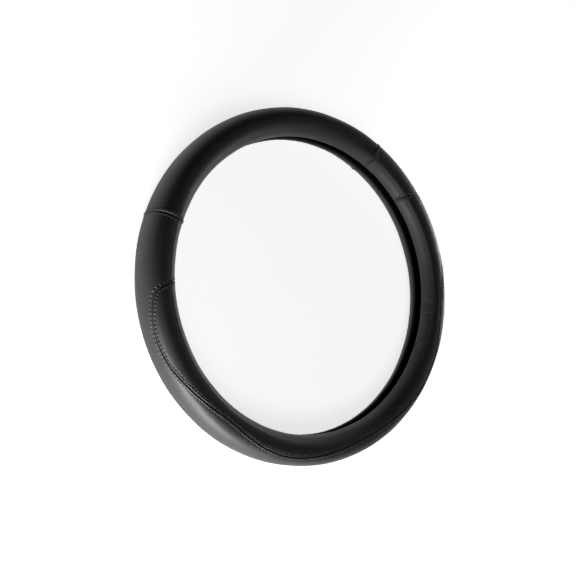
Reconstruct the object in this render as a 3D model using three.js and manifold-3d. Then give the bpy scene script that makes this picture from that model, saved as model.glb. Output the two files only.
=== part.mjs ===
// Steering wheel cover: a leather band sewn from three panels, wrapped round a moulded rubber ring.
// Millimetres, +Z up. The cover lies on its back, so the driver's side faces up and 12 o'clock is +Y.
// A place on the cover is given in flat pattern terms: the angle round the wheel from 12 o'clock
// (anticlockwise as the driver sees it), the arc round the grip from its outermost line (towards the
// driver's side is positive) and the depth under the leather's outer face.
import * as THREE from 'three';
import { mergeVertices } from 'three/addons/utils/BufferGeometryUtils.js';
import Module from 'manifold-3d';

// Grip
const coverDiameter = 380;
const gripWidth = 32.1;
const gripDepth = 45.3;
const gripRoundness = 0.8; // 1 is an ellipse, less is squarer
const gripLean = 3.2; // degrees that the driver's side leans to the hub
const restBand = 6; // width of the flat that the cover lies on

// Layers
const leatherThickness = 1.2;
const rubberThickness = 2.2;
const layerGap = 0.35;

// Slot towards the hub, and the hems that turn round its lips
const slotWidth = 12.4;
const hemReturn = 7;

// Seams
const seamGap = 0.3;
const seamRoll = 1.6; // width of each rolled edge
const seamDrop = 0.8; // depth of the rolled edge at the seam
const topSeamAngle = 50.75; // the two seams that end the top panel
const foldRise = 0.6; // height of the fold along a top seam
const foldReach = 4.5;
const foldShare = 0.4; // share of the fold's height on the side away from the top panel

// Half of the seam between the outer panel and the thumb inlay, from the lip of the slot to 6 o'clock:
// the angle round the wheel and the angle round the grip, where 90 faces the driver
const inlaySeam = [
	[ 71, 140 ], [ 72.4, 93 ], [ 74.8, 58 ], [ 79.5, 40 ], [ 87, 29 ], [ 95, 37 ], [ 104, 61 ], [ 113, 80 ],
	[ 121, 87.5 ], [ 130, 81 ], [ 137, 71.5 ], [ 144.5, 65.5 ], [ 152, 69 ], [ 160, 78.5 ], [ 170, 87 ],
];
const inlaySeamBottom = [ 180, 90 ];
const inlaySeamStart = 70.6; // angle round the wheel where this seam crosses the lip

// Grip ribs on the inner face of the rubber ring
const ribCount = 3;
const ribPitch = 12;
const ribBase = 4.4;
const ribCrest = 2;
const ribHeight = 0.8;

// Facets
const rowCount = 48;
const rowStep = 360 / rowCount; // degrees
const frontSegments = 12;
const rearSegments = 3;
const foldRows = [ 0.25, 0.6, 1 ]; // extra rows over a fold, as shares of its reach
const seamSteps = 72;
const arcSteps = 360;
const overrun = 2; // how far a seam cut runs past the leather

const wasm = await Module();
wasm.setup();

const radians = THREE.MathUtils.degToRad;

// Point and outward normal of the grip's section at an angle round it, before it leans
function sectionFrame( turn ) {

	const c = Math.cos( turn );
	const s = Math.sin( turn );
	const place = new THREE.Vector2(
		gripWidth / 2 * Math.sign( c ) * Math.abs( c ) ** gripRoundness,
		gripDepth / 2 * Math.sign( s ) * Math.abs( s ) ** gripRoundness,
	);
	const normal = new THREE.Vector2(
		Math.sign( c ) * Math.abs( c ) ** ( 2 - gripRoundness ) / gripWidth,
		Math.sign( s ) * Math.abs( s ) ** ( 2 - gripRoundness ) / gripDepth,
	).normalize();
	return { place, normal };

}

// Length round the section from its outermost line, at even steps of the angle
const arcTable = [ 0 ];
for ( let i = 1; i <= arcSteps; i ++ ) {

	const before = sectionFrame( Math.PI * ( i - 1 ) / arcSteps ).place;
	const after = sectionFrame( Math.PI * i / arcSteps ).place;
	arcTable.push( arcTable[ i - 1 ] + before.distanceTo( after ) );

}

const halfGirth = arcTable[ arcSteps ];

function arcAt( degrees ) {

	const step = Math.min( degrees / 180 * arcSteps, arcSteps - 1e-9 );
	const low = Math.floor( step );
	return THREE.MathUtils.lerp( arcTable[ low ], arcTable[ low + 1 ], step - low );

}

function turnAt( arc ) {

	const reach = Math.min( Math.abs( arc ), halfGirth );
	let low = arcTable.findIndex( ( length ) => length > reach ) - 1;
	if ( low < 0 ) low = arcSteps - 1;
	const share = ( reach - arcTable[ low ] ) / ( arcTable[ low + 1 ] - arcTable[ low ] );
	return Math.sign( arc ) * Math.PI * ( low + share ) / arcSteps;

}

function sectionPoint( arc, depth ) {

	const { place, normal } = sectionFrame( turnAt( arc ) );
	return place.addScaledVector( normal, - depth ).rotateAround( new THREE.Vector2(), radians( gripLean ) );

}

// The section's reach outwards, and the arc of its lowest line
const outline = arcTable.flatMap( ( arc ) => [ arc, - arc ] ).map( ( arc ) => ( { arc, at: sectionPoint( arc, 0 ) } ) );
const sectionReach = Math.max( ...outline.map( ( { at } ) => at.x ) );
const restArc = outline.reduce( ( a, b ) => b.at.y < a.at.y ? b : a ).arc;
const restEdges = [ restArc + restBand / 2, restArc - restBand / 2 ];

const centreRadius = coverDiameter / 2 - sectionReach;
const centreHeight = - Math.max( ...restEdges.map( ( arc ) => sectionPoint( arc, 0 ).y ) );
const degree = radians( centreRadius ); // length of one degree along the grip's centre line

// Depths of the layers, and the arc of the lips that the leather turns round
const rubberDepth = leatherThickness + layerGap;
const channelDepth = rubberDepth + rubberThickness;
const hemRadius = ( rubberDepth + channelDepth ) / 2;
const lipArc = halfGirth - slotWidth / 2 - hemRadius;

function spaced( from, to, segments ) {

	return Array.from( { length: segments + 1 }, ( _, i ) => THREE.MathUtils.lerp( from, to, i / segments ) );

}

const evenRows = spaced( 0, 360 - rowStep, rowCount - 1 );

// Arcs of the facets, from the front lip over the outside to the rear lip
const facetArcs = [
	...spaced( lipArc, restEdges[ 0 ], frontSegments ),
	...spaced( restEdges[ 1 ], - lipArc, rearSegments ),
];

function ringPoint( angle, arc, depth ) {

	const { x, y } = sectionPoint( arc, depth );
	const turn = radians( 90 + angle );
	const radius = centreRadius + x;
	return new THREE.Vector3( radius * Math.cos( turn ), radius * Math.sin( turn ), Math.max( y + centreHeight, 0 ) );

}

// A place on the flat facets between the rows and the facet arcs, which all layers share
function facetPoint( angle, arc, depth ) {

	const row = Math.floor( angle / rowStep );
	const along = angle / rowStep - row;
	let k = facetArcs.findIndex( ( edge ) => edge < arc ) - 1;
	if ( k === - 2 ) k = facetArcs.length - 2;
	k = Math.max( k, 0 );
	const across = ( arc - facetArcs[ k ] ) / ( facetArcs[ k + 1 ] - facetArcs[ k ] );
	const at = ( i, j ) => ringPoint( ( row + i ) * rowStep, facetArcs[ k + j ], depth );
	return at( 0, 0 ).lerp( at( 0, 1 ), across ).lerp( at( 1, 0 ).lerp( at( 1, 1 ), across ), along );

}

// A solid through a series of like polygons, closed on itself or capped with the contour given
function loft( rings, contour = null ) {

	const count = rings[ 0 ].length;
	const index = [];
	for ( let i = 0; i < rings.length - ( contour ? 1 : 0 ); i ++ ) {

		for ( let j = 0; j < count; j ++ ) {

			const a = i * count + j;
			const b = i * count + ( j + 1 ) % count;
			const shift = ( i + 1 ) % rings.length * count - i * count;
			index.push( a, b, a + shift, b, b + shift, a + shift );

		}

	}

	if ( contour ) {

		const end = ( rings.length - 1 ) * count;
		for ( const [ a, b, c ] of THREE.ShapeUtils.triangulateShape( contour, [] ) ) {

			index.push( a, b, c, end + a, end + c, end + b );

		}

	}

	const geometry = new THREE.BufferGeometry();
	const position = rings.flat().flatMap( ( point ) => point.toArray() );
	geometry.setAttribute( 'position', new THREE.Float32BufferAttribute( position, 3 ) );
	geometry.setIndex( index );
	return geometry;

}

function toSolid( geometry ) {

	const merged = mergeVertices( geometry );
	const mesh = new wasm.Mesh( {
		numProp: 3,
		vertProperties: merged.attributes.position.array,
		triVerts: new Uint32Array( merged.index.array ),
	} );
	return new wasm.Manifold( mesh );

}

function toGeometry( solid ) {

	const { vertProperties, triVerts } = solid.getMesh();
	const geometry = new THREE.BufferGeometry();
	geometry.setAttribute( 'position', new THREE.BufferAttribute( vertProperties, 3 ) );
	geometry.setIndex( new THREE.BufferAttribute( triVerts, 1 ) );
	geometry.computeVertexNormals();
	return geometry;

}

// Height of the fold that runs along each top seam
function foldHeight( angle ) {

	const fromTop = Math.abs( THREE.MathUtils.euclideanModulo( angle + 180, 360 ) - 180 );
	const distance = ( fromTop - topSeamAngle ) * degree;
	if ( Math.abs( distance ) >= foldReach ) return 0;
	const height = distance < 0 ? foldRise : foldRise * foldShare;
	return height * ( 1 - ( distance / foldReach ) ** 2 ) ** 2;

}

// Rows of the leather: the even rows, and more of them over the folds of the top seams
function leatherRows() {

	const reach = foldReach / degree;
	const extra = [ topSeamAngle, 360 - topSeamAngle ].flatMap( ( seam ) =>
		foldRows.flatMap( ( share ) => [ seam - share * reach, seam + share * reach ] ) );
	return [ ...evenRows, ...extra ].sort( ( a, b ) => a - b );

}

// The leather's hem in arc and depth: round the lip, back inside the rubber ring, and out again
function hemProfile( side ) {

	const inner = hemRadius - leatherThickness;
	const round = ( radius, turn ) => [
		side * ( lipArc + radius * Math.sin( radians( turn ) ) ),
		hemRadius - radius * Math.cos( radians( turn ) ),
	];
	const back = side * ( lipArc - hemReturn );
	return [
		round( hemRadius, 60 ), round( hemRadius, 120 ), round( hemRadius, 180 ),
		[ back, hemRadius * 2 ], [ back, hemRadius + inner ],
		round( inner, 180 ), round( inner, 90 ),
	];

}

function leatherBlank() {

	const rings = leatherRows().map( ( angle ) => {

		const fold = foldHeight( angle );
		const profile = [
			...facetArcs.map( ( arc ) => [ arc, - fold ] ),
			...hemProfile( - 1 ),
			...facetArcs.map( ( arc ) => [ arc, leatherThickness ] ).reverse(),
			...hemProfile( 1 ).reverse(),
		];
		return profile.map( ( [ arc, depth ] ) => facetPoint( angle, arc, depth ) );

	} );
	return toSolid( loft( rings ) );

}

// The cut between two panels: a gap through all the leather, opening out to the two rolled edges
function seamCut( path, rise ) {

	const half = seamGap / 2;
	const deep = hemRadius * 2 + overrun;
	const high = - foldRise - overrun;
	const flank = [
		[ half, deep ], [ half, seamDrop ], [ half + seamRoll * 0.35, seamDrop * 0.3 ],
		[ half + seamRoll, - rise ], [ half + seamRoll, high ],
	];
	const contour = [ ...flank, ...flank.map( ( [ across, depth ] ) => [ - across, depth ] ).reverse() ];
	const rings = path.map( ( { place, side } ) => contour.map( ( [ across, depth ] ) => {

		const at = place.clone().addScaledVector( side, across );
		return facetPoint( at.x / degree, at.y, depth );

	} ) );
	return toSolid( loft( rings, contour.map( ( pair ) => new THREE.Vector2( ...pair ) ) ) );

}

function topSeamCut( angle ) {

	const end = lipArc + hemRadius + overrun;
	const side = new THREE.Vector2( 1, 0 );
	const path = [ end, ...facetArcs, - end ].map( ( arc ) => ( {
		place: new THREE.Vector2( angle * degree, arc ), side,
	} ) );
	return seamCut( path, foldRise );

}

function inlaySeamCut() {

	const half = inlaySeam.map( ( [ angle, turn ] ) => [ angle, arcAt( turn ) ] );
	half.unshift( [ inlaySeamStart, lipArc + hemRadius + overrun ] );
	const mirrored = half.map( ( [ angle, arc ] ) => [ 360 - angle, arc ] ).reverse();
	const bottom = [ inlaySeamBottom[ 0 ], arcAt( inlaySeamBottom[ 1 ] ) ];
	const points = [ ...half, bottom, ...mirrored ];
	const curve = new THREE.SplineCurve( points.map( ( [ angle, arc ] ) => new THREE.Vector2( angle * degree, arc ) ) );
	const path = spaced( 0, 1, seamSteps ).map( ( share ) => {

		const tangent = curve.getTangentAt( share );
		return { place: curve.getPointAt( share ), side: new THREE.Vector2( - tangent.y, tangent.x ) };

	} );
	return seamCut( path, 0.1 );

}

// The three leather panels, told apart by where they lie: only the top panel stays on its side of the
// wheel, and only the inlay stays clear of the table
function leatherPanels() {

	const cuts = [ topSeamCut( topSeamAngle ), topSeamCut( 360 - topSeamAngle ), inlaySeamCut() ];
	const panels = cuts.reduce( ( leather, cut ) => leather.subtract( cut ), leatherBlank() ).decompose();
	const top = panels.find( ( panel ) => panel.boundingBox().min[ 1 ] > 0 );
	const inlay = panels.find( ( panel ) => panel !== top && panel.boundingBox().min[ 2 ] > gripDepth / 4 );
	const outer = panels.find( ( panel ) => panel !== top && panel !== inlay );
	return { top, inlay, outer };

}

// Inner face of the rubber ring in arc and depth, with ribs that run round the wheel
function ribbedFace() {

	const centres = spaced( 1 - ribCount, ribCount - 1, ribCount - 1 ).map( ( step ) => step / 2 * ribPitch );
	const plain = facetArcs.filter( ( arc ) => centres.every( ( centre ) => Math.abs( arc - centre ) > ribBase / 2 ) );
	const ribs = centres.flatMap( ( centre ) => [
		[ centre + ribBase / 2, channelDepth ], [ centre + ribCrest / 2, channelDepth + ribHeight ],
		[ centre - ribCrest / 2, channelDepth + ribHeight ], [ centre - ribBase / 2, channelDepth ],
	] );
	return [ ...plain.map( ( arc ) => [ arc, channelDepth ] ), ...ribs ].sort( ( a, b ) => b[ 0 ] - a[ 0 ] );

}

function rubberRing() {

	const profile = [ ...facetArcs.map( ( arc ) => [ arc, rubberDepth ] ), ...ribbedFace().reverse() ];
	return loft( evenRows.map( ( angle ) => profile.map( ( [ arc, depth ] ) => facetPoint( angle, arc, depth ) ) ) );

}

function addPiece( group, name, geometry, material ) {

	geometry.computeVertexNormals();
	const mesh = new THREE.Mesh( geometry, material );
	mesh.name = name;
	group.add( mesh );

}

function leather( color ) {

	return new THREE.MeshStandardMaterial( { color, roughness: 0.45, metalness: 0 } );

}

const group = new THREE.Group();
const panels = leatherPanels();
addPiece( group, 'top_panel', toGeometry( panels.top ), leather( 0x141415 ) );
addPiece( group, 'outer_panel', toGeometry( panels.outer ), leather( 0x18181a ) );
addPiece( group, 'thumb_inlay', toGeometry( panels.inlay ), leather( 0x161617 ) );
const rubber = new THREE.MeshStandardMaterial( { color: 0x101010, roughness: 0.85, metalness: 0 } );
addPiece( group, 'rubber_ring', rubberRing(), rubber );

export default group;
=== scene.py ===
"""Steering wheel cover: its sewn leather panels, its thread, its rubber ring and the studio, as an add-on.

Sizes in the settings are metres. Inside, lengths are millimetres until a mesh is made.
A place on the cover is a point of the flat pattern. Its x runs round the ring from 12 o'clock,
anticlockwise as the driver sees it. Its y runs round the grip from its outermost line, towards the
driver's side and then over the lip of the slot into the hem.
"""

import math

import bpy
import numpy as np
from mathutils import Matrix, Vector
from mathutils.geometry import delaunay_2d_cdt
from mathutils.kdtree import KDTree


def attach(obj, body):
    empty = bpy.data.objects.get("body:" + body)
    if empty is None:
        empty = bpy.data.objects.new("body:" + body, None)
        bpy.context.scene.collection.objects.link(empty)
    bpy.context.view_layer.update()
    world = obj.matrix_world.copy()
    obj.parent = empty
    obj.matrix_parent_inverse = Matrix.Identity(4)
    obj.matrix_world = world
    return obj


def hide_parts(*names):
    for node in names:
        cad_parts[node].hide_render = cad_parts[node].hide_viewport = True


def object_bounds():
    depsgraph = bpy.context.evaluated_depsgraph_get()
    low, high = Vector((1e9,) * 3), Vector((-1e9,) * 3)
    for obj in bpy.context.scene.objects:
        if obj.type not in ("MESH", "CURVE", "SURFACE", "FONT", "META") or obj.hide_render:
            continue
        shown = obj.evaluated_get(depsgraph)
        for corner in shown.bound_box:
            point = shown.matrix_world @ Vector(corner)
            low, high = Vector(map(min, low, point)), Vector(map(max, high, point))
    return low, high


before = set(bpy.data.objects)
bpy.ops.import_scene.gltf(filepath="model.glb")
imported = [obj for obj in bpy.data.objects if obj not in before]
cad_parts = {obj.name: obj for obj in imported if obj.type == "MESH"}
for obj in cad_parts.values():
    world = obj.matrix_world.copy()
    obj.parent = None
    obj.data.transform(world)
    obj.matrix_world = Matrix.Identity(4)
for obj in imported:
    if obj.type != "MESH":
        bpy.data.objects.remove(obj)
CAD_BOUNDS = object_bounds()

bl_info = {
    "name": "Steering wheel cover",
    "version": (1, 0, 0),
    "blender": (4, 5, 0),
    "location": "3D View > Sidebar > Wheel cover",
    "description": "Builds a sewn leather steering wheel cover and the studio it is seen in",
    "category": "Add Mesh",
}

MM = 0.001

# Half of the seam between the outer panel and the thumb inlay, from the lip of the slot towards 6 o'clock,
# as degrees round the ring and degrees round the grip
INLAY_SEAM = [
    (71, 140), (72.4, 93), (74.8, 58), (79.5, 40), (87, 29), (95, 37), (104, 61), (113, 80),
    (121, 87.5), (130, 81), (137, 71.5), (144.5, 65.5), (152, 69), (160, 78.5), (170, 87),
]
INLAY_SEAM_BOTTOM = (180, 90)
INLAY_SEAM_START = 70.6


# Settings

def length(name, text, default, low=0.0, high=1.0):
    return bpy.props.FloatProperty(
        name=name, description=text, default=default, min=low, max=high, precision=5,
        unit="LENGTH", subtype="DISTANCE")


def share(name, text, default):
    return bpy.props.FloatProperty(
        name=name, description=text, default=default, min=0, max=1, subtype="FACTOR")


def colour(name, text, default):
    return bpy.props.FloatVectorProperty(
        name=name, description=text, default=default, size=3, min=0, max=1, subtype="COLOR")


def angle(name, text, degrees):
    return bpy.props.FloatProperty(
        name=name, description=text, default=math.radians(degrees), unit="ROTATION", subtype="ANGLE")


class CoverGripSizes(bpy.types.PropertyGroup):
    """Sizes of the padded grip and the layers that it is made of."""

    diameter: length("Diameter", "Outer diameter of the cover",
                     round(CAD_BOUNDS[1].x - CAD_BOUNDS[0].x, 3))
    width: length("Grip width", "Width of the grip, across the band of the ring", 0.0321)
    depth: length("Grip depth", "Depth of the grip, along the axis of the ring", 0.0453)
    roundness: share("Roundness", "1 is an ellipse and less is squarer", 0.8)
    lean: angle("Lean", "How far the driver's side leans inwards", 3.2)
    rest_band: length("Rest band", "Width of the flat that the cover lies on", 0.006)
    leather: length("Leather thickness", "Thickness of the leather", 0.0012)
    rubber: length("Rubber thickness", "Thickness of the rubber ring", 0.0022)
    layer_gap: length("Layer gap", "Space between the leather and the rubber ring", 0.00035)
    slot: length("Slot width", "Width of the slot in the inner side", 0.0124)
    hem: length("Hem return", "How far the hem runs back inside the rubber ring", 0.007)


class CoverSewingSizes(bpy.types.PropertyGroup):
    """Sizes of the seams and of the stitches beside them."""

    gap: length("Seam gap", "Gap between two panels", 0.0003)
    roll: length("Rolled edge", "Width of the rolled edge on each side of a seam", 0.0009)
    drop: length("Seam depth", "How deep the rolled edges dive at a seam", 0.0011)
    lift: length("Seam lift", "How far the leather puffs up between a seam and its stitches", 0.00025)
    top_seam: angle("Top seam", "Angle of the two seams that end the top panel", 50.75)
    fold_rise: length("Fold height", "Height of the fold on the top panel's side of a top seam", 0.0007)
    fold_place: length("Fold place", "Distance of the fold's ridge from the top seam", 0.0013)
    fold_reach: length("Fold reach", "Width of the fold on each side of its ridge", 0.0011)
    long_row: length("Long seam's rows", "Distance of a stitch row from the long seam", 0.0026)
    top_row: length("Top seams' rows", "Distance of a stitch row from a top seam", 0.0028)
    pitch: length("Stitch pitch", "Length of one stitch with its gap", 0.0037)
    thread: length("Thread thickness", "Thickness of the sewing thread", 0.0006)
    pull: length("Thread pull", "How far a stitch row pulls the leather in", 0.00012)
    hole: length("Needle holes", "How far the leather dips at a needle hole", 0.0005)
    hole_size: length("Needle hole size", "Distance from the middle of a needle hole to its edge", 0.00055)


class CoverSurfaceSizes(bpy.types.PropertyGroup):
    """Gathers at the lips of the slot and the unevenness of the hand-wrapped leather."""

    gather: length("Gathers", "Height of the gathers along the lips", 0.0003)
    deep_gather: length("Deep gathers", "Height of the gathers at four o'clock", 0.0009)
    gather_pitch: length("Gather spacing", "Usual distance between gathers", 0.0085)
    gather_reach: length("Gather reach", "How far the gathers run from the lip", 0.011)
    waver: length("Unevenness", "Height of the slow unevenness of the leather", 0.00012)
    shoulder: length("Shoulder", "Height of the stiff edge between the front and the inner face", 0.00055)


class CoverFinishes(bpy.types.PropertyGroup):
    """Colours and finish of the leather, the thread and the rubber."""

    top_colour: colour("Top leather", "Colour of the top panel", (0.0060, 0.0060, 0.0062))
    outer_colour: colour("Outer leather", "Colour of the outer panel", (0.0070, 0.0070, 0.0072))
    inlay_colour: colour("Inlay leather", "Colour of the thumb inlay", (0.0060, 0.0060, 0.0062))
    thread_colour: colour("Thread", "Colour of the sewing thread", (0.05, 0.05, 0.051))
    rubber_colour: colour("Rubber", "Colour of the rubber ring", (0.006, 0.006, 0.006))
    roughness: share("Leather roughness", "Roughness of the leather", 0.56)
    gloss: share("Leather gloss", "Specular level of the leather", 0.5)
    grain: length("Grain size", "Usual size of the leather's grain", 0.0008)


class CoverStudio(bpy.types.PropertyGroup):
    """Camera, floor and lamps."""

    camera_place: bpy.props.FloatVectorProperty(
        name="Camera place", description="Where the camera stands", size=3,
        default=(-0.42423, 0.07396, 0.63437), unit="LENGTH", subtype="TRANSLATION")
    lens: bpy.props.FloatProperty(
        name="Lens", description="Focal length of the camera", default=43.75, unit="CAMERA")
    floor_colour: colour("Floor", "Colour of the floor", (0.86, 0.86, 0.86))
    floor_size: length("Floor size", "Distance across the round floor", 9.0, 0, 100)
    backdrop_height: length("Backdrop height", "Height of the backdrop round the floor", 1.0, 0, 100)
    sky_colour: colour("Surroundings", "Colour of the dim surroundings", (0.02, 0.02, 0.021))


# The grip's section and the map from the flat pattern to the ring

class Grip:
    """The ring that the leather is wrapped round, worked out from the settings in millimetres."""

    STEPS = 1440

    def __init__(self, sizes, sewing):
        self.width = sizes.width / MM
        self.depth = sizes.depth / MM
        self.roundness = sizes.roundness
        self.lean = sizes.lean
        self.leather = sizes.leather / MM
        self.rubber_depth = (sizes.leather + sizes.layer_gap) / MM
        self.channel_depth = self.rubber_depth + sizes.rubber / MM
        self.hem_radius = (self.rubber_depth + self.channel_depth) / 2
        self.turns = np.linspace(0, math.pi, self.STEPS + 1)
        place, _ = self.section_frame(self.turns)
        steps = np.hypot(*np.diff(place, axis=1))
        self.arcs = np.concatenate([[0], np.cumsum(steps)])
        self.half_girth = self.arcs[-1]
        self.lip = self.half_girth - sizes.slot / MM / 2 - self.hem_radius
        self.ribbon = self.lip + math.pi * self.hem_radius + sizes.hem / MM
        around = np.concatenate([-self.arcs[::-1], self.arcs])
        outline = self.section_point(around, 0 * around)
        rest_arc = around[np.argmin(outline[1])]
        rest_edges = rest_arc + np.array([-0.5, 0.5]) * sizes.rest_band / MM
        self.centre_radius = sizes.diameter / MM / 2 - outline[0].max()
        self.centre_height = -self.section_point(rest_edges, 0 * rest_edges)[1].max()
        self.degree = math.radians(self.centre_radius)
        self.top_seam = math.degrees(sewing.top_seam) * self.degree
        self.round_length = 360 * self.degree

    def section_frame(self, turn):
        """Points and outward normals of the upright section at angles round it."""
        c, s = np.cos(turn), np.sin(turn)
        power = self.roundness
        place = np.array([
            self.width / 2 * np.sign(c) * np.abs(c) ** power,
            self.depth / 2 * np.sign(s) * np.abs(s) ** power])
        normal = np.array([
            np.sign(c) * np.abs(c) ** (2 - power) / self.width,
            np.sign(s) * np.abs(s) ** (2 - power) / self.depth])
        return place, normal / np.hypot(*normal)

    def section_point(self, arc, depth):
        """Points of the leaning section at arcs round it and depths under the leather's face."""
        turn = np.sign(arc) * np.interp(np.abs(arc), self.arcs, self.turns)
        place, normal = self.section_frame(turn)
        place = place - normal * depth
        c, s = math.cos(self.lean), math.sin(self.lean)
        return np.array([c * place[0] - s * place[1], s * place[0] + c * place[1]])

    def ring_point(self, x, arc, depth):
        """Points of the ring, in metres."""
        section = self.section_point(arc, depth)
        turn = np.radians(90 + x / self.degree)
        radius = self.centre_radius + section[0]
        height = np.maximum(section[1] + self.centre_height, 0)
        return np.stack([radius * np.cos(turn), radius * np.sin(turn), height], -1) * MM

    def leather_point(self, x, y, depth):
        """Points of the leather, which turns round the lips of the slot into its hems, in metres."""
        side = np.where(y < 0, -1.0, 1.0)
        past = np.abs(y) - self.lip
        turn = np.clip(past / self.hem_radius, 0, math.pi)
        back = np.maximum(past - math.pi * self.hem_radius, 0)
        radius = self.hem_radius - depth
        arc = np.where(past > 0, self.lip + radius * np.sin(turn) - back, np.abs(y)) * side
        deep = np.where(past > 0, self.hem_radius - radius * np.cos(turn), depth)
        return self.ring_point(x, arc, deep)

    def arc_at(self, degrees):
        return np.interp(math.radians(degrees), self.turns, self.arcs)


def smooth(value):
    value = np.clip(value, 0, 1)
    return value * value * (3 - 2 * value)


# Seams in the flat pattern

# How far a seam runs past the hem and its curve past the lip, in millimetres, and the curve's steps
SEAM_OVERRUN = 3
CURVE_OVERRUN = 2
CURVE_STEPS = 40

# The distance given to a place that a seam doesn't reach
OUT_OF_REACH = 1000.0


def interpolate(runs, known, values):
    """Rows of values at new lengths along a line."""
    return np.stack([np.interp(runs, known, values[:, i]) for i in (0, 1)], -1)


def running_mean(values, width):
    """Means of each column over a few rows, with the ends held."""
    kernel = np.ones(width) / width
    columns = [np.pad(values[:, i], width // 2, "edge") for i in (0, 1)]
    return np.stack([np.convolve(column, kernel, "valid") for column in columns], -1)


class SeamLine:
    """A sewn line of the flat pattern, with its direction, its left side and the length along it."""

    STEP = 0.25
    SMOOTHED_STEPS = 9

    def __init__(self, points):
        points = np.array(points, float)
        run = np.concatenate([[0], np.cumsum(np.hypot(*np.diff(points, axis=0).T))])
        count = int(run[-1] / self.STEP)
        self.run = np.linspace(0, run[-1], count + 1)
        self.points = interpolate(self.run, run, points)
        tangent = running_mean(np.gradient(self.points, self.run, axis=0), self.SMOOTHED_STEPS)
        self.tangent = tangent / np.hypot(*tangent.T)[:, None]
        self.left = np.stack([-self.tangent[:, 1], self.tangent[:, 0]], -1)
        self.tree = KDTree(count + 1)
        for i, (x, y) in enumerate(self.points):
            self.tree.insert((x, y, 0), i)
        self.tree.balance()

    def offset(self, runs, distance):
        """Points at a signed distance to the left of the seam, at lengths along it."""
        points = interpolate(runs, self.run, self.points)
        left = interpolate(runs, self.run, self.left)
        return points + left * distance

    def locate(self, places, reach):
        """Signed distance to the left of the seam and length along it, for places within reach."""
        distance = np.full(len(places), OUT_OF_REACH)
        along = np.zeros(len(places))
        for i, (x, y) in enumerate(places):
            _, nearest, far = self.tree.find((x, y, 0))
            if far < reach:
                offset = places[i] - self.points[nearest]
                distance[i] = offset @ self.left[nearest]
                along[i] = self.run[nearest] + offset @ self.tangent[nearest]
        return distance, along


def catmull_rom(points, steps):
    """A smooth curve through the points, the same one that the solids are cut along."""
    points = np.array(points, float)
    last = len(points) - 1
    out = []
    for i in range(last):
        p0, p1, p2, p3 = points[max(i - 1, 0)], points[i], points[i + 1], points[min(i + 2, last)]
        for t in np.arange(steps) / steps:
            v0, v1 = (p2 - p0) / 2, (p3 - p1) / 2
            cubic = 2 * p1 - 2 * p2 + v0 + v1
            square = -3 * p1 + 3 * p2 - 2 * v0 - v1
            out.append(cubic * t ** 3 + square * t ** 2 + v0 * t + p1)
    out.append(points[-1])
    return np.array(out)


def inlay_seam_line(grip):
    """The long seam, from past the hem on the left, round 6 o'clock, to past the hem on the right."""
    overrun = grip.lip + grip.hem_radius + CURVE_OVERRUN
    half = [(INLAY_SEAM_START, overrun)] + [(a, grip.arc_at(turn)) for a, turn in INLAY_SEAM]
    mirrored = [(360 - a, arc) for a, arc in reversed(half)]
    bottom = (INLAY_SEAM_BOTTOM[0], grip.arc_at(INLAY_SEAM_BOTTOM[1]))
    curve = catmull_rom([(a * grip.degree, arc) for a, arc in [*half, bottom, *mirrored]], CURVE_STEPS)
    curve = curve[curve[:, 1] < grip.lip]
    start = (curve[0][0], grip.ribbon + SEAM_OVERRUN)
    end = (curve[-1][0], grip.ribbon + SEAM_OVERRUN)
    return SeamLine([start, *curve, end])


def straight_seam_line(grip, x):
    """A top seam, from past the hem on the driver's side to past the one at the back."""
    end = grip.ribbon + SEAM_OVERRUN
    return SeamLine([(x, end), (x, -end)])


# Height of the leather's face over the plain grip

# Shares of the sewing settings at the top seams, and of the seam depth where the long seam is shut
TOP_SEAM_PUFF = 0.35
TOP_SEAM_HOLES = 1.3
SHALLOW_SEAM = 0.35

# How much deeper the long seam's needle holes are at the sides and at the bottom, as shares
SIDE_HOLES = 0.6
BOTTOM_HOLES = 1.1

# Where the long seam opens and shuts, in degrees from 12 o'clock
SIDE_END = 82
BOTTOM_START = 164
OPENING_LENGTH = 14

# The puffed leather: its place as a share of the way to the stitch row, and how much the stitches change it
PUFF_PLACE = 0.55
PUFF_WAVE = 0.3

# Widths and heights of the relief beside a seam, and how far the long seam reaches, in millimetres
PUFF_WIDTH = 0.8
PULL_WIDTH = 0.6
PUCKER_HEIGHT = 0.05
PUCKER_WIDTH = 1.6
FOLD_EASE = 0.5
LONG_SEAM_REACH = 9

# Slow waves that space the gathers unevenly, as height, number round the ring and shift in degrees
GATHER_DRIFT = ((0.9, 7, 0), (0.7, 17, 40), (0.4, 41, 0))

# Form of the gathers and how it changes round the ring and at the back
GATHER_BEND = 0.35
GATHER_BEND_LENGTH = 4.0
GATHER_ROUNDNESS = 0.75
GATHER_LEVEL = 0.7
PATCH_LEVEL = 0.65
PATCH_CHANGE = 0.35
BACK_SHIFT = 1.3
BACK_SHARE = 0.8
PAST_THE_LIP = 1.5

# Where the gathers are deep, in degrees from 12 o'clock, and how much farther they reach there, as a share
DEEP_START = 217
DEEP_END = 251
DEEP_EASE = 7
DEEP_REACH = 0.5

# What the sum of the slow waves is divided by, so that the setting is about its height
WAVER_PEAK = 1.6

# The stiff edge, as degrees round the grip, millimetres, and degrees from 12 o'clock
SHOULDER_TURN = 113
SHOULDER_WIDTH = 1.9
SHOULDER_START = 40
SHOULDER_RISE = 14
SHOULDER_END = 158
SHOULDER_FALL = 34

# How far into a hem the relief fades, and how much of it goes
HEM_EASE = 5
HEM_LOSS = 0.75


def rolled_edge(distance, sewing):
    """How far the edge of a panel dives into its seam."""
    width = sewing.roll / MM
    near = np.clip(1 - (distance - sewing.gap / MM / 2) / width, 0, 1)
    return -sewing.drop / MM * (1 - np.sqrt(1 - near ** 2))


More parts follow.
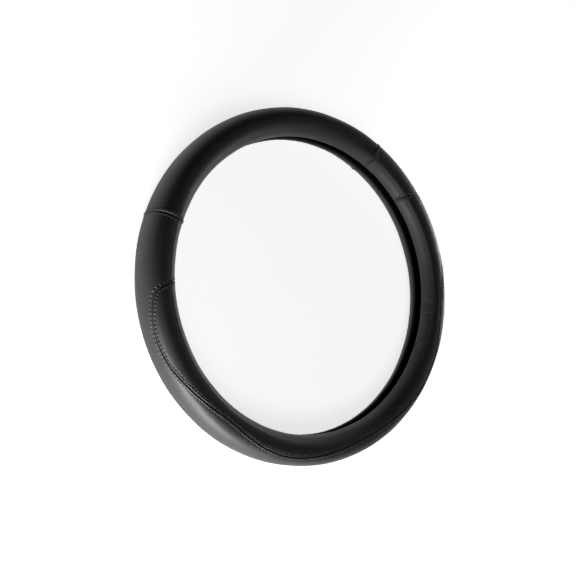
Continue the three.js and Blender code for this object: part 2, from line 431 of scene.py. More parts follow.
def needle_holes(distance, along, row, sewing):
    """How much of a needle hole there is at a place: 1 in the middle of a hole and 0 between them."""
    pitch, size = sewing.pitch / MM, sewing.hole_size / MM
    from_hole = (along + pitch / 2) % pitch - pitch / 2
    return np.exp(-((distance - row) / size) ** 2 - (from_hole / size) ** 2)


def seam_relief(distance, along, row, puffed, dived, pierced, sewing):
    """Rolled edge, puffed leather, and the stitch row's groove, needle holes and puckers."""
    wave = np.cos(2 * math.pi * along / (sewing.pitch / MM))
    mound = np.exp(-((distance - PUFF_PLACE * row) / PUFF_WIDTH) ** 2)
    puff = puffed * sewing.lift / MM * mound * (1 - PUFF_WAVE * wave)
    pull = -sewing.pull / MM * np.exp(-((distance - row) / PULL_WIDTH) ** 2)
    hole = -pierced * sewing.hole / MM * needle_holes(distance, along, row, sewing)
    pucker = -PUCKER_HEIGHT * pierced * wave * np.exp(-((distance - row) / PUCKER_WIDTH) ** 2)
    return dived * rolled_edge(distance, sewing) + puff + pull + hole + pucker


def long_seam_shares(turn):
    """Shares of the seam depth and of the needle holes along the long seam.

    Between the sides and the bottom of the ring the seam is pulled open and its holes close up.
    """
    side = smooth((SIDE_END + OPENING_LENGTH - turn) / OPENING_LENGTH)
    bottom = smooth((turn - BOTTOM_START) / OPENING_LENGTH)
    dived = 1 - (1 - SHALLOW_SEAM) * np.maximum(side, bottom)
    pierced = 1 + SIDE_HOLES * side + BOTTOM_HOLES * bottom
    return dived, pierced


def fold_relief(signed, sewing):
    """The fold of the top panel's edge, a ridge beside the seam, where signed is negative."""
    across = (signed + sewing.fold_place / MM) / (sewing.fold_reach / MM)
    return sewing.fold_rise / MM * np.exp(-across ** 2) * smooth(-signed / FOLD_EASE)


def slow_waves(turn, waves):
    return sum(height * np.sin(np.radians(turn * count + shift)) for height, count, shift in waves)


def lip_gathers(grip, x, y, surface):
    """Creases between rounded puffs, which run in from both lips."""
    turn = x / grip.degree
    pitch = surface.gather_pitch / MM
    phase = math.pi * (x / pitch + slow_waves(turn, GATHER_DRIFT)) + np.where(y < 0, BACK_SHIFT, 0)
    crease = np.abs(np.sin(phase + GATHER_BEND * np.sin(y / GATHER_BEND_LENGTH)))
    puff = crease ** GATHER_ROUNDNESS - GATHER_LEVEL
    patch = PATCH_LEVEL + PATCH_CHANGE * np.sin(np.radians(turn * 11 + 25)) * np.sin(np.radians(turn * 5))
    deep = smooth((turn - DEEP_START) / DEEP_EASE) * smooth((DEEP_END - turn) / DEEP_EASE)
    height = (surface.gather * patch * (1 - deep) + surface.deep_gather * deep) / MM
    height = np.where(y < 0, BACK_SHARE * surface.gather / MM, height)
    from_lip = grip.lip + PAST_THE_LIP - np.abs(y)
    reach = surface.gather_reach / MM * (1 + DEEP_REACH * deep)
    fade = np.exp(-(np.clip(from_lip, 0, None) / reach) ** 2)
    return height * puff * fade


def shoulder_edge(grip, x, y, surface):
    """The stiff edge at both sides, where the leather turns from the front to the inner face."""
    from_top = np.abs((x / grip.degree + 180) % 360 - 180)
    rise = smooth((from_top - SHOULDER_START) / SHOULDER_RISE)
    fall = smooth((SHOULDER_END - from_top) / SHOULDER_FALL)
    across = (y - grip.arc_at(SHOULDER_TURN)) / SHOULDER_WIDTH
    return surface.shoulder / MM * (rise * fall) / (1 + across ** 2) ** 1.5


def waver(grip, x, y, surface):
    """Slow unevenness of leather that is wrapped by hand."""
    turn = x / grip.degree
    slow = (np.sin(np.radians(turn * 9 + 20)) * np.cos(y / 11 + 1)
            + 0.8 * np.sin(np.radians(turn * 16 - 50) + y / 17)
            + 0.6 * np.sin(np.radians(turn * 23 + 80) - y / 8)
            + 0.4 * np.cos(np.radians(turn * 37)) * np.sin(y / 6 + 2))
    return surface.waver / MM * slow / WAVER_PEAK


class Cover:
    """The grip and the seams, shared by every piece of the cover."""

    def __init__(self, scene):
        self.sewing = scene.cover_sewing
        self.surface = scene.cover_surface
        grip = Grip(scene.cover_grip, self.sewing)
        self.grip = grip
        self.inlay = inlay_seam_line(grip)
        self.left_seam = straight_seam_line(grip, grip.top_seam)
        self.right_seam = straight_seam_line(grip, grip.round_length - grip.top_seam)

    def face_height(self, places):
        """Height of the leather's outer face over the plain grip, in millimetres."""
        x, y = places.T
        grip, sewing, surface = self.grip, self.sewing, self.surface
        from_top = np.abs((x + grip.round_length / 2) % grip.round_length - grip.round_length / 2)
        signed = from_top - grip.top_seam
        along = grip.ribbon + SEAM_OVERRUN - y
        row = sewing.top_row / MM
        height = seam_relief(np.abs(signed), along, row, TOP_SEAM_PUFF, 1, TOP_SEAM_HOLES, sewing)
        height += fold_relief(signed, sewing)
        distance, along = self.inlay.locate(places, LONG_SEAM_REACH)
        dived, pierced = long_seam_shares(from_top / grip.degree)
        height += seam_relief(np.abs(distance), along, sewing.long_row / MM, 1, dived, pierced, sewing)
        height += lip_gathers(grip, x, y, surface) + waver(grip, x, y, surface)
        height += shoulder_edge(grip, x, y, surface)
        inside = smooth((np.abs(y) - grip.lip) / HEM_EASE)
        return height * (1 - HEM_LOSS * inside)


# Meshes

# Rows round the grip: wide ones as far as FRONT_ARC, then close ones to the lip, and those of turn and hem
FRONT_ARC = 26
FRONT_ROWS = 17
LIP_ROW = 0.95
TURN_ROWS = 10
HEM_ROWS = 3

# Distances from a seam of the lines of points that follow it, in millimetres
SEAM_STEPS = (0.35, 0.65, 1.0, 1.3, 1.6, 1.9, 2.2, 2.5, 2.8, 3.15, 3.6, 4.3, 5.4, 6.8)
COLUMNS_PER_STITCH = 5
PAST_THE_STITCHES = 3.3

# How far the grid keeps from a seam's last line, how much nearer to its own seam a line may come where the
# seam bends, and how far every point keeps from the outline
GRID_CLEARANCE = 1.0
BEND_SLACK = 0.12
EDGE_CLEARANCE = 0.13

# A panel's outline: step of its straight edges, and how far its sewn edge stops short of the hem's end
EDGE_STEP = 1.5
HEM_MARGIN = 0.5

# The mesh of a panel: only the triangles inside the outline, points that count as one, its thinnest leather,
# and the angle from which an edge is sharp
INSIDE_THE_OUTLINE = 1
SAME_POINT = 1e-6
LEAST_THICKNESS = 0.15
PANEL_EDGE_ANGLE = 60


def new_object(name, points, faces, material, flat=None):
    """A piece that rides on the cover's only body."""
    mesh = bpy.data.meshes.new(name)
    mesh.from_pydata(np.asarray(points).tolist(), [], faces)
    mesh.shade_smooth()
    if flat is not None:
        layer = mesh.uv_layers.new(name="flat_pattern")
        index = np.empty(len(mesh.loops), int)
        mesh.loops.foreach_get("vertex_index", index)
        layer.data.foreach_set("uv", (np.asarray(flat) * MM)[index].ravel())
    mesh.materials.append(material)
    piece = bpy.data.objects.new(name, mesh)
    bpy.context.scene.collection.objects.link(piece)
    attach(piece, "root")
    return piece


def lines_of_rows(grip):
    """Rows of the mesh round the grip: close together at the lips, where the gathers and the turn are."""
    lip, radius = grip.lip, grip.hem_radius
    front = np.linspace(0, FRONT_ARC, FRONT_ROWS)
    side = np.linspace(FRONT_ARC, lip, int((lip - FRONT_ARC) / LIP_ROW))[1:]
    turn = lip + math.pi * radius * np.arange(1, TURN_ROWS + 1) / TURN_ROWS
    hem = np.linspace(turn[-1], grip.ribbon, HEM_ROWS + 1)[1:]
    half = np.array([*front, *side, *turn, *hem])
    return np.concatenate([-half[:0:-1], half])


class Panel:
    """A leather panel cut from the flat pattern between seams, with its thickness."""

    COLUMN = 1.9

    def __init__(self, cover, outline, seams):
        self.cover = cover
        self.along = cover.sewing.pitch / MM / COLUMNS_PER_STITCH
        self.outline = outline
        self.seams = seams

    def inner_points(self):
        """Points inside the outline: rows and columns, and lines that follow each seam."""
        grip = self.cover.grip
        low, high = self.outline.min(0), self.outline.max(0)
        columns = np.arange(low[0], high[0], self.COLUMN)
        rows = lines_of_rows(grip)
        grid = np.stack(np.meshgrid(columns, rows), -1).reshape(-1, 2)
        for seam, _ in self.seams:
            distance, _ = seam.locate(grid, SEAM_STEPS[-1] + GRID_CLEARANCE)
            grid = grid[distance == OUT_OF_REACH]
        points = [grid]
        for seam, side in self.seams:
            others = [s for s, _ in self.seams if s is not seam]
            for step in SEAM_STEPS:
                along = self.along * (2 if step > PAST_THE_STITCHES else 1)
                line = seam.offset(np.arange(0, seam.run[-1], along), side * step)
                for other in others:
                    line = line[other.locate(line, step)[0] == OUT_OF_REACH]
                own = np.abs(seam.locate(line, step)[0])
                points.append(line[own > step - BEND_SLACK])
        points = np.concatenate(points)
        return points[self.inside(points)]

    def inside(self, points):
        """Which points lie inside the outline and not too near to it."""
        x, y = points.T
        a, b = self.outline, np.roll(self.outline, -1, axis=0)
        count = np.zeros(len(points), int)
        nearest = np.full(len(points), math.inf)
        for (x1, y1), (x2, y2) in zip(a, b):
            if y1 != y2:
                crossing = (y1 > y) != (y2 > y)
                count += crossing & (x < x1 + (y - y1) / (y2 - y1) * (x2 - x1))
            dx, dy = x2 - x1, y2 - y1
            t = np.clip(((x - x1) * dx + (y - y1) * dy) / (dx * dx + dy * dy + 1e-12), 0, 1)
            nearest = np.minimum(nearest, np.hypot(x - x1 - t * dx, y - y1 - t * dy))
        return (count % 2 == 1) & (nearest > EDGE_CLEARANCE)

    def build(self, name, material, slot, *nodes):
        """The panel's face, its back and the walls round its edge."""
        inner = self.inner_points()
        border = self.outline
        places = np.concatenate([border, inner])
        ring = [(i, (i + 1) % len(border)) for i in range(len(border))]
        corners = [Vector(place) for place in places.tolist()]
        flat, _, faces, *_ = delaunay_2d_cdt(corners, ring, [], INSIDE_THE_OUTLINE, SAME_POINT)
        flat = np.array([tuple(p) for p in flat])
        faces = np.array([f if turns_left(flat, f) else f[::-1] for f in faces])
        height = self.cover.face_height(flat)
        grip = self.cover.grip
        thickness = grip.leather
        face = grip.leather_point(flat[:, 0], flat[:, 1], -np.maximum(height, LEAST_THICKNESS - thickness))
        back = grip.leather_point(flat[:, 0], flat[:, 1], np.full(len(flat), thickness))
        shift = len(flat)
        edges = np.concatenate([faces[:, [0, 1]], faces[:, [1, 2]], faces[:, [2, 0]]])
        known = {tuple(e) for e in edges.tolist()}
        walls = [(b, a, a + shift, b + shift) for a, b in known if (b, a) not in known]
        all_faces = faces.tolist() + (faces[:, ::-1] + shift).tolist() + walls
        piece = new_object(name, np.concatenate([face, back]), all_faces, material,
                           np.concatenate([flat, flat]))
        piece.data.set_sharp_from_angle(angle=math.radians(PANEL_EDGE_ANGLE))
        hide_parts(*nodes)
        return piece


def turns_left(flat, face):
    (x1, y1), (x2, y2), (x3, y3) = flat[face[0]], flat[face[1]], flat[face[2]]
    return (x2 - x1) * (y3 - y1) > (x3 - x1) * (y2 - y1)


def spaced_line(start, end, step):
    count = max(2, int(math.dist(start, end) / step))
    return np.linspace(start, end, count + 1)[:-1]


# Outlines of the three panels in the flat pattern

def top_panel(cover):
    grip, gap = cover.grip, cover.sewing.gap / MM / 2
    x, y = grip.top_seam - gap, grip.ribbon
    corners = [(-x, -y), (x, -y), (x, y), (-x, y), (-x, -y)]
    outline = np.concatenate([spaced_line(a, b, EDGE_STEP) for a, b in zip(corners, corners[1:])])
    right = straight_seam_line(grip, -grip.top_seam)
    return Panel(cover, outline, [(cover.left_seam, -1), (right, 1)])


def seam_edge(cover, side):
    """The cut edge of a panel along the long seam, inside the flat pattern."""
    seam, grip = cover.inlay, cover.grip
    runs = np.arange(0, seam.run[-1], cover.sewing.pitch / MM / COLUMNS_PER_STITCH)
    edge = seam.offset(runs, side * cover.sewing.gap / MM / 2)
    return edge[edge[:, 1] < grip.ribbon - HEM_MARGIN]


def outer_panel(cover):
    grip, gap = cover.grip, cover.sewing.gap / MM / 2
    low, high, y = grip.top_seam + gap, grip.round_length - grip.top_seam - gap, grip.ribbon
    edge = seam_edge(cover, -1)
    first, last = (edge[0][0], y), (edge[-1][0], y)
    outline = np.concatenate([
        spaced_line((low, y), (low, -y), EDGE_STEP), spaced_line((low, -y), (high, -y), EDGE_STEP),
        spaced_line((high, -y), (high, y), EDGE_STEP), spaced_line((high, y), last, EDGE_STEP),
        [last], edge[::-1], spaced_line(first, (low, y), EDGE_STEP)])
    return Panel(cover, outline, [(cover.left_seam, 1), (cover.inlay, -1), (cover.right_seam, -1)])


def thumb_inlay(cover):
    grip = cover.grip
    edge = seam_edge(cover, 1)
    first, last = (edge[0][0], grip.ribbon), (edge[-1][0], grip.ribbon)
    outline = np.concatenate([edge, spaced_line(last, first, EDGE_STEP), [first]])
    return Panel(cover, outline, [(cover.inlay, 1)])


# Thread

# Points along a stitch: place as a share of its length, height over the leather, and share of its thickness
STITCH_SHARES = np.array([0, 0.06, 0.16, 0.32, 0.5, 0.68, 0.84, 0.94, 1])
STITCH_HEIGHTS = np.array([-0.6, -0.28, -0.02, 0.1, 0.13, 0.1, -0.02, -0.28, -0.6])
STITCH_THICKNESS = np.array([0.7, 0.9, 1, 1, 1, 1, 1, 0.9, 0.7])
STITCH_SIDES = 8

# A stitch's start and length as shares of the pitch
STITCH_START = 0.1
STITCH_LENGTH = 0.8

# Shares in which a stitch levels out and follows the leather under it, and how far rows run past the lip
LEVELLED = 0.6
FOLLOWED = 0.4
ROWS_PAST_LIP = 2


def stitch_row(cover, seam, distance, low, high):
    """Flat places of the points along each stitch of one row."""
    pitch = cover.sewing.pitch / MM
    first = math.ceil(low / pitch)
    holes = np.arange(first, int(high / pitch)) * pitch
    runs = holes[:, None] + pitch * (STITCH_START + STITCH_LENGTH * STITCH_SHARES)[None]
    flat = seam.offset(runs.ravel(), distance)
    return flat.reshape(len(holes), len(STITCH_SHARES), 2)


def tube_faces(count, rings):
    """Faces of a number of closed tubes, each with the same number of rings."""
    faces = []
    for tube in range(count):
        start = tube * rings * STITCH_SIDES
        for i in range(rings - 1):
            for j in range(STITCH_SIDES):
                a = start + i * STITCH_SIDES + j
                b = start + i * STITCH_SIDES + (j + 1) % STITCH_SIDES
                faces.append((a, a + STITCH_SIDES, b + STITCH_SIDES, b))
        faces.append(tuple(start + j for j in range(STITCH_SIDES)))
        last = start + (rings - 1) * STITCH_SIDES
        faces.append(tuple(last + j for j in reversed(range(STITCH_SIDES))))
    return faces


def thread_mesh(cover, stitches):
    """Short bowed tubes whose ends go down into the leather."""
    grip, radius = cover.grip, cover.sewing.thread / 2 / MM
    flat = stitches.reshape(-1, 2)
    height = cover.face_height(flat).reshape(stitches.shape[:2])
    height = np.repeat(height.mean(1)[:, None], len(STITCH_SHARES), 1) * LEVELLED + height * FOLLOWED
    depth = -(height + STITCH_HEIGHTS[None]).ravel()
    centre = grip.leather_point(flat[:, 0], flat[:, 1], depth)
    outward = grip.leather_point(flat[:, 0], flat[:, 1], depth - 1) - centre
    outward /= np.linalg.norm(outward, axis=1)[:, None]
    centre = centre.reshape(*stitches.shape[:2], 3)
    outward = outward.reshape(centre.shape)
    along = np.gradient(centre, axis=1)
    across = np.cross(along, outward)
    across /= np.linalg.norm(across, axis=2)[..., None]
    upright = np.cross(across, along)
    upright /= np.linalg.norm(upright, axis=2)[..., None]
    turn = 2 * math.pi * np.arange(STITCH_SIDES) / STITCH_SIDES
    ring = np.cos(turn)[:, None] * across[:, :, None] + np.sin(turn)[:, None] * upright[:, :, None]
    thick = radius * MM * STITCH_THICKNESS[None, :, None, None]
    points = (centre[:, :, None] + ring * thick).reshape(-1, 3)
    points[:, 2] = np.maximum(points[:, 2], 0)
    return points, tube_faces(len(stitches), len(STITCH_SHARES))


def inlay_stitches(cover):
    """Two rows of stitches beside the long seam, from lip to lip."""
    seam, row = cover.inlay, cover.sewing.long_row / MM
    shown = seam.run[np.abs(seam.points[:, 1]) < cover.grip.lip + ROWS_PAST_LIP]
    return np.concatenate([stitch_row(cover, seam, side * row, shown[0], shown[-1]) for side in (-1, 1)])


def top_stitches(cover):
    """Rows of stitches on both sides of the two top seams, from lip to lip."""
    grip, row = cover.grip, cover.sewing.top_row / MM
    middle = cover.left_seam.run[-1] / 2
    low, high = middle - grip.lip - ROWS_PAST_LIP, middle + grip.lip + ROWS_PAST_LIP
    seams = (cover.left_seam, cover.right_seam)
    return np.concatenate([stitch_row(cover, s, side * row, low, high) for s in seams for side in (-1, 1)])


# Rubber ring

RIB_ARCS = (-12, 0, 12)
RIB_HEIGHT = 0.8
RIB_HALF_WIDTH = 2.3
RIB_SIDE = 1.2
RIB_REACH = 2.4
RIB_ROWS = 9
RUBBER_BACK_ROWS = 71
RUBBER_FACE_ROWS = 61
RUBBER_COLUMNS = 360
RUBBER_EDGE_ANGLE = 50


def rubber_profile(grip):
    """Section of the rubber ring in arc and depth: a plain back and a face with three rounded ribs."""
    outer = np.linspace(grip.lip, -grip.lip, RUBBER_BACK_ROWS)
    rib = np.linspace(-RIB_REACH, RIB_REACH, RIB_ROWS)
    plain = np.linspace(-grip.lip, grip.lip, RUBBER_FACE_ROWS)
    inner = np.sort(np.concatenate([plain, *[arc + rib for arc in RIB_ARCS]]))
    height = sum(RIB_HEIGHT * smooth((RIB_HALF_WIDTH - np.abs(inner - arc)) / RIB_SIDE) for arc in RIB_ARCS)
    arcs = np.concatenate([outer, inner])
    depths = np.concatenate([np.full(len(outer), grip.rubber_depth), grip.channel_depth + height])
    return arcs, depths


def rubber_mesh(grip):
    arcs, depths = rubber_profile(grip)
    count = len(arcs)
    columns = np.arange(RUBBER_COLUMNS) * grip.round_length / RUBBER_COLUMNS
    x, arc = np.meshgrid(columns, arcs, indexing="ij")
    depth = np.broadcast_to(depths, x.shape)
    points = grip.ring_point(x.ravel(), arc.ravel(), depth.ravel())
    faces = []
    for i in range(RUBBER_COLUMNS):
        here, there = i * count, (i + 1) % RUBBER_COLUMNS * count
        for j in range(count):
            k = (j + 1) % count
            faces.append((here + j, here + k, there + k, there + j))
    return points, faces


# Materials

GRAIN_WARP = 0.0009
GRAIN_DEPTH = 0.00006
GRAIN_STRENGTH = 0.25
GRAIN_EDGE = 0.22
SHEEN_DRIFT = 0.035
SHEEN_GRAIN = 0.05


class Nodes:
    """Short names for adding and joining shader nodes."""

    def __init__(self, name):
        self.material = bpy.data.materials.new(name)
        self.material.use_nodes = True
        self.tree = self.material.node_tree
        self.shader = self.tree.nodes["Principled BSDF"]

    def add(self, kind, **values):
        node = self.tree.nodes.new(kind)
        for key, value in values.items():
            if key in node.inputs:
                node.inputs[key].default_value = value
            else:
                setattr(node, key, value)
        return node

    def join(self, out, into):
        self.tree.links.new(out, into)

    def noise(self, vector, scale, detail, roughness=0.55):
        node = self.add("ShaderNodeTexNoise", Scale=scale, Detail=detail, Roughness=roughness)
        self.join(vector, node.inputs["Vector"])
        return node.outputs["Fac"]

    def between(self, value, low, high, to_low, to_high):
        node = self.add("ShaderNodeMapRange")
        for key, number in zip(("From Min", "From Max", "To Min", "To Max"), (low, high, to_low, to_high)):
            node.inputs[key].default_value = number
        self.join(value, node.inputs["Value"])
        return node.outputs["Result"]

    def tint(self, value, dark, light):
        node = self.add("ShaderNodeValToRGB")
        node.color_ramp.elements[0].color = (*dark, 1)
        node.color_ramp.elements[1].color = (*light, 1)
        self.join(value, node.inputs["Fac"])
        return node.outputs["Color"]

    def bump(self, height, distance, strength, under=None):
        node = self.add("ShaderNodeBump", Distance=distance, Strength=strength)
        self.join(height, node.inputs["Height"])
        if under is not None:
            self.join(under, node.inputs["Normal"])
        return node.outputs["Normal"]


def scaled(tone, factor):
    return tuple(min(1.0, c * factor) for c in tone)


def leather_material(name, tone, finishes):
    """Smooth leather with fine pebbled grain, pores, and a tone and sheen that drift slowly."""
    m = Nodes(name)
    rough = finishes.roughness
    place = m.add("ShaderNodeTexCoord").outputs["Object"]
    slow = m.noise(place, 26, 3)
    fine = m.noise(place, 900, 4, 0.6)
    m.join(m.tint(slow, scaled(tone, 0.75), scaled(tone, 1.3)), m.shader.inputs["Base Color"])
    drift = m.add("ShaderNodeMath", operation="ADD")
    m.join(m.between(slow, 0.3, 0.7, -SHEEN_DRIFT, SHEEN_DRIFT), drift.inputs[0])
    m.join(m.between(fine, 0.3, 0.7, rough - SHEEN_GRAIN, rough + SHEEN_GRAIN), drift.inputs[1])
    m.join(drift.outputs[0], m.shader.inputs["Roughness"])
    warp = m.add("ShaderNodeVectorMath", operation="MULTIPLY_ADD")
    warp.inputs[1].default_value = (GRAIN_WARP,) * 3
    m.join(m.noise(place, 420, 2), warp.inputs[0])
    m.join(place, warp.inputs[2])
    pebbles = m.add("ShaderNodeTexVoronoi", feature="DISTANCE_TO_EDGE", Scale=1 / finishes.grain)
    m.join(warp.outputs[0], pebbles.inputs["Vector"])
    crease = m.between(pebbles.outputs["Distance"], 0.0, GRAIN_EDGE, 0.0, 1.0)
    normal = m.bump(crease, GRAIN_DEPTH, GRAIN_STRENGTH)
    normal = m.bump(fine, GRAIN_DEPTH, GRAIN_STRENGTH, normal)
    m.join(normal, m.shader.inputs["Normal"])
    m.shader.inputs["Specular IOR Level"].default_value = finishes.gloss
    return m.material


def thread_material(name, tone):
    """Twisted waxed thread."""
    m = Nodes(name)
    place = m.add("ShaderNodeTexCoord").outputs["Object"]
    twist = m.noise(place, 2600, 2)
    m.join(m.tint(twist, scaled(tone, 0.6), scaled(tone, 1.5)), m.shader.inputs["Base Color"])
    m.shader.inputs["Roughness"].default_value = 0.5
    m.join(m.bump(twist, 0.0001, 0.6), m.shader.inputs["Normal"])
    return m.material


def rubber_material(name, tone):
    """Matt moulded rubber with a faint mould texture."""
    m = Nodes(name)
    place = m.add("ShaderNodeTexCoord").outputs["Object"]
    speckle = m.noise(place, 1500, 4, 0.6)
    slow = m.noise(place, 40, 2)
    m.join(m.tint(slow, scaled(tone, 0.8), scaled(tone, 1.4)), m.shader.inputs["Base Color"])
    m.join(m.between(speckle, 0.3, 0.7, 0.68, 0.86), m.shader.inputs["Roughness"])
    m.join(m.bump(speckle, 0.00008, 0.4), m.shader.inputs["Normal"])
    return m.material


def floor_material(tone):
    """A matt pale floor that shows white to the eye and in reflections and keeps its shadows."""
    m = Nodes("floor_white")
    place = m.add("ShaderNodeTexCoord").outputs["Object"]
    faint = m.noise(place, 3, 2)
    m.join(m.tint(faint, scaled(tone, 0.99), scaled(tone, 1.01)), m.shader.inputs["Base Color"])
    m.shader.inputs["Roughness"].default_value = 0.9
    m.shader.inputs["Specular IOR Level"].default_value = 0.1
    path = m.add("ShaderNodeLightPath")
    seen = path.outputs["Is Camera Ray"]
    for ray in ("Is Glossy Ray", "Is Transmission Ray"):
        either = m.add("ShaderNodeMath", operation="MAXIMUM")
        m.join(seen, either.inputs[0])
        m.join(path.outputs[ray], either.inputs[1])
        seen = either.outputs[0]
    glow = m.add("ShaderNodeMath", operation="MULTIPLY")
    glow.inputs[1].default_value = FLOOR_GLOW
    m.join(seen, glow.inputs[0])
    m.shader.inputs["Emission Color"].default_value = (1, 1, 1, 1)
    m.join(glow.outputs[0], m.shader.inputs["Emission Strength"])
    return m.material


# Studio

FLOOR_GLOW = 0.77
FLOOR_DROP = 0.0002
BACKDROP_BEND = 0.6
BEND_RINGS = 10
STAGE_SIDES = 128
COVER_CENTRE = Vector((0, 0, 0.02))
CAMERA_RIGHT = (0.7763, -0.3213, 0.5423)
CAMERA_UP = (0.3198, 0.9421, 0.1004)
CAMERA_BACK = (-0.5432, 0.0955, 0.8342)

# Lamps as azimuth from +X and height in degrees, distance, width and tallness in metres, and watts
LAMPS = (
    ("lamp_key", 211, 6, 0.7, 0.5, 0.13, 9.5),
    ("lamp_top", 222, 58, 2.2, 1.1, 1.1, 9),
    ("lamp_low", 315, 14, 2.2, 1.0, 1.0, 2),
    ("lamp_right", 350, 8, 0.7, 0.3, 0.14, 2.2),
)


def look_at_centre(place):
    return (COVER_CENTRE - place).to_track_quat("-Z", "Y")


def add_lamp(name, azimuth, height, distance, width, tall, watts):
    """A soft lamp that faces the cover, and that the camera doesn't see."""
    light = bpy.data.lights.new(name, "AREA")
    light.shape = "RECTANGLE"
    light.size = width
    light.size_y = tall
    light.energy = watts
    lamp = bpy.data.objects.new(name, light)
    a, e = math.radians(azimuth), math.radians(height)
    lamp.location = Vector((math.cos(e) * math.cos(a), math.cos(e) * math.sin(a), math.sin(e))) * distance
    lamp.rotation_mode = "QUATERNION"
    lamp.rotation_quaternion = look_at_centre(lamp.location)
    lamp.visible_camera = False
    bpy.context.scene.collection.objects.link(lamp)


def add_camera(studio):
    data = bpy.data.cameras.new("photo_camera")
    data.sensor_width = 36
    data.lens = studio.lens
    data.clip_start = 0.01
    data.clip_end = 50
    camera = bpy.data.objects.new("photo_camera", data)
    axes = Matrix((CAMERA_RIGHT, CAMERA_UP, CAMERA_BACK)).transposed()
    camera.matrix_world = Matrix.Translation(studio.camera_place) @ axes.to_4x4()
    bpy.context.scene.collection.objects.link(camera)
    bpy.context.scene.camera = camera


def stage_profile(studio):
    """Distance from the middle and height of each ring of the stage, from the floor up the backdrop."""
    reach, bend = studio.floor_size / 2, BACKDROP_BEND
    turns = np.radians(np.linspace(0, 90, BEND_RINGS))
    curve = [(reach - bend + bend * math.sin(t), bend - bend * math.cos(t)) for t in turns]
    return [(reach - 2 * bend, 0), *curve, (reach, studio.backdrop_height)]


def add_floor(studio):
    """A round floor that bends up into a low backdrop all round."""
    angles = 2 * math.pi * np.arange(STAGE_SIDES) / STAGE_SIDES
    rings = stage_profile(studio)
    points = [(r * math.cos(a), r * math.sin(a), z) for r, z in rings for a in angles]
    faces = [tuple(range(STAGE_SIDES))]
    for ring in range(len(rings) - 1):
        for i in range(STAGE_SIDES):
            a, b = ring * STAGE_SIDES + i, ring * STAGE_SIDES + (i + 1) % STAGE_SIDES
            faces.append((a, a + STAGE_SIDES, b + STAGE_SIDES, b))
    mesh = bpy.data.meshes.new("floor")
    mesh.from_pydata(points, [], faces)
    mesh.shade_smooth()
    mesh.materials.append(floor_material(tuple(studio.floor_colour)))
    floor = bpy.data.objects.new("floor", mesh)
    floor.location.z = -FLOOR_DROP
    bpy.context.scene.collection.objects.link(floor)


def set_surroundings(studio):
    world = bpy.data.worlds.new("studio")
    world.use_nodes = True
    background = world.node_tree.nodes["Background"]
    background.inputs["Color"].default_value = (*studio.sky_colour, 1)
    background.inputs["Strength"].default_value = 1
    bpy.context.scene.world = world
    bpy.context.scene.view_settings.view_transform = "Standard"


# Operators, one for each piece or group of like pieces and one for the stage

class COVER_OT_stage(bpy.types.Operator):
    """Add the camera, the pale floor, the lamps and the dim surroundings"""

    bl_idname = "cover.stage"
    bl_label = "Stage"

    def execute(self, context):
        studio = context.scene.cover_studio
        add_camera(studio)
        add_floor(studio)
        set_surroundings(studio)
        for lamp in LAMPS:
            add_lamp(*lamp)
        return {"FINISHED"}


class COVER_OT_top_panel(bpy.types.Operator):
    """Add the smooth leather panel over the top of the ring"""

    bl_idname = "cover.top_panel"
    bl_label = "Top panel"

    def execute(self, context):
        finishes = context.scene.cover_finishes
        leather = leather_material("top_leather", tuple(finishes.top_colour), finishes)
        panel = top_panel(Cover(context.scene))
        panel.build("leather_top_panel", leather, "top_leather", "top_panel")
        return {"FINISHED"}


class COVER_OT_outer_panel(bpy.types.Operator):
    """Add the leather panel round the outside and back of the ring"""

    bl_idname = "cover.outer_panel"
    bl_label = "Outer panel"

    def execute(self, context):
        finishes = context.scene.cover_finishes
        leather = leather_material("outer_leather", tuple(finishes.outer_colour), finishes)
        panel = outer_panel(Cover(context.scene))
        panel.build("leather_outer_panel", leather, "outer_leather", "outer_panel")
        return {"FINISHED"}


class COVER_OT_thumb_inlay(bpy.types.Operator):
    """Add the leather panel on the driver's side and the inner face"""

    bl_idname = "cover.thumb_inlay"
    bl_label = "Thumb inlay"

    def execute(self, context):
        finishes = context.scene.cover_finishes
        leather = leather_material("inlay_leather", tuple(finishes.inlay_colour), finishes)
        panel = thumb_inlay(Cover(context.scene))
        panel.build("leather_thumb_inlay", leather, "inlay_leather", "thumb_inlay")
        return {"FINISHED"}


class COVER_OT_stitching(bpy.types.Operator):
    """Add the stitch rows beside the long seam and the two top seams"""

    bl_idname = "cover.stitching"
    bl_label = "Stitching"

    def execute(self, context):
        cover = Cover(context.scene)
        thread = thread_material("sewing_thread", tuple(context.scene.cover_finishes.thread_colour))
        for name, stitches in (("stitching_long_seam", inlay_stitches(cover)),
                               ("stitching_top_seams", top_stitches(cover))):
            points, faces = thread_mesh(cover, stitches)
            new_object(name, points, faces, thread)
        return {"FINISHED"}


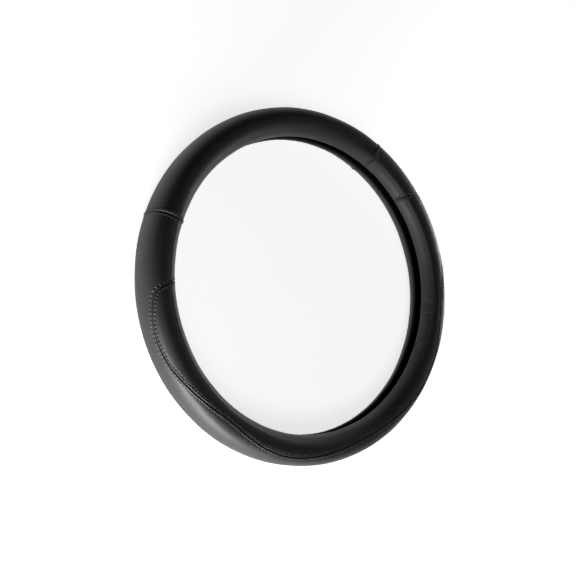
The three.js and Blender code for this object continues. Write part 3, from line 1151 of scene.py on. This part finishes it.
class COVER_OT_rubber_ring(bpy.types.Operator):
    """Add the ribbed rubber ring inside the leather"""

    bl_idname = "cover.rubber_ring"
    bl_label = "Rubber ring"

    def execute(self, context):
        rubber = rubber_material("rubber", tuple(context.scene.cover_finishes.rubber_colour))
        points, faces = rubber_mesh(Cover(context.scene).grip)
        ring = new_object("ribbed_rubber_ring", points, faces, rubber)
        ring.data.set_sharp_from_angle(angle=math.radians(RUBBER_EDGE_ANGLE))
        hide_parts("rubber_ring")
        return {"FINISHED"}


class COVER_PT_pieces(bpy.types.Panel):
    """The cover's pieces and their settings"""

    bl_label = "Wheel cover"
    bl_idname = "COVER_PT_pieces"
    bl_space_type = "VIEW_3D"
    bl_region_type = "UI"
    bl_category = "Wheel cover"

    def draw(self, context):
        for operator in OPERATORS:
            self.layout.operator(operator.bl_idname)
        for name, label, _ in SETTINGS:
            box = self.layout.box()
            box.label(text=label)
            settings = getattr(context.scene, name)
            for key in settings.__annotations__:
                box.prop(settings, key)


SETTINGS = (
    ("cover_grip", "Grip", CoverGripSizes),
    ("cover_sewing", "Sewing", CoverSewingSizes),
    ("cover_surface", "Surface", CoverSurfaceSizes),
    ("cover_finishes", "Finishes", CoverFinishes),
    ("cover_studio", "Studio", CoverStudio),
)
OPERATORS = (
    COVER_OT_stage, COVER_OT_top_panel, COVER_OT_outer_panel, COVER_OT_thumb_inlay,
    COVER_OT_stitching, COVER_OT_rubber_ring,
)
CLASSES = (*[group for _, _, group in SETTINGS], *OPERATORS, COVER_PT_pieces)


def register():
    for cls in CLASSES:
        bpy.utils.register_class(cls)
    for name, _, group in SETTINGS:
        setattr(bpy.types.Scene, name, bpy.props.PointerProperty(type=group))


def unregister():
    for name, _, _ in SETTINGS:
        delattr(bpy.types.Scene, name)
    for cls in reversed(CLASSES):
        bpy.utils.unregister_class(cls)


def main():
    register()
    bpy.ops.cover.stage()
    bpy.ops.cover.top_panel()
    bpy.ops.cover.outer_panel()
    bpy.ops.cover.thumb_inlay()
    bpy.ops.cover.stitching()
    bpy.ops.cover.rubber_ring()
    bpy.context.view_layer.update()


if __name__ == "__main__":
    main()
